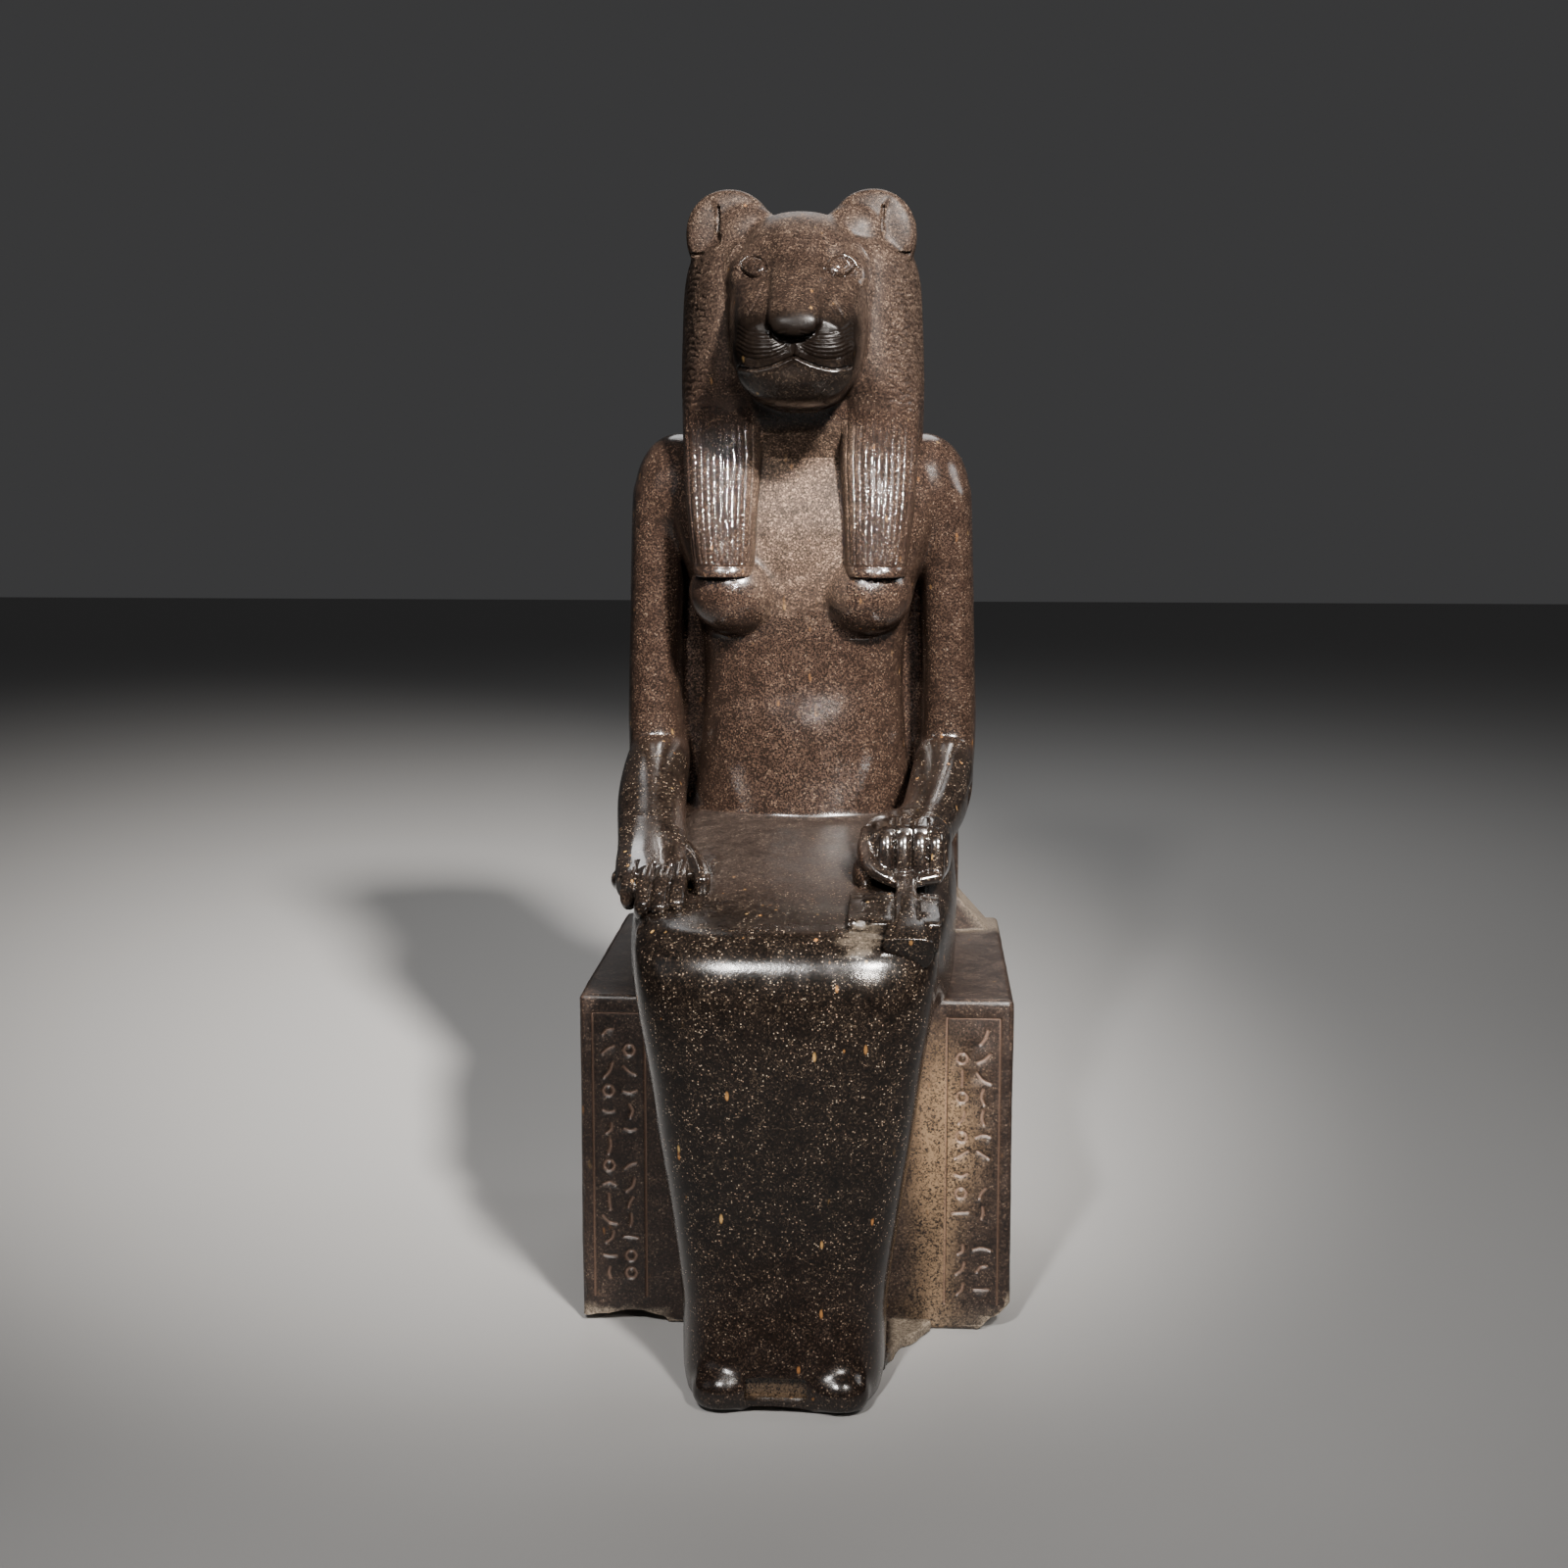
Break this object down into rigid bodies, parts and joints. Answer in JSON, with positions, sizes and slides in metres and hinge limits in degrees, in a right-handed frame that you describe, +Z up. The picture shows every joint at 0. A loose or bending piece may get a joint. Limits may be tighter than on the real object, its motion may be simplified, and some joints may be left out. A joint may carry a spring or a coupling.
{
  "type": "seated goddess statue",
  "caption": "Carved dark stone statue of a lion-headed goddess seated on a block throne, hands on her lap, one holding a life sign; stands on its own underside.",
  "frame": {"origin": "centre of the bounding box, on the plane that the broken underside rests on", "axes": "+Z up; the figure faces -Y; +X is the viewer's right, her left hand's side"},
  "size_m": [0.648, 0.84, 1.7172],
  "materials": {
    "granodiorite": "polished dark stone with fine pale speckle, matte on the throne and the breaks"
  },
  "bodies": {
    "root": {"statue": "granodiorite"}
  },
  "joints": []
}
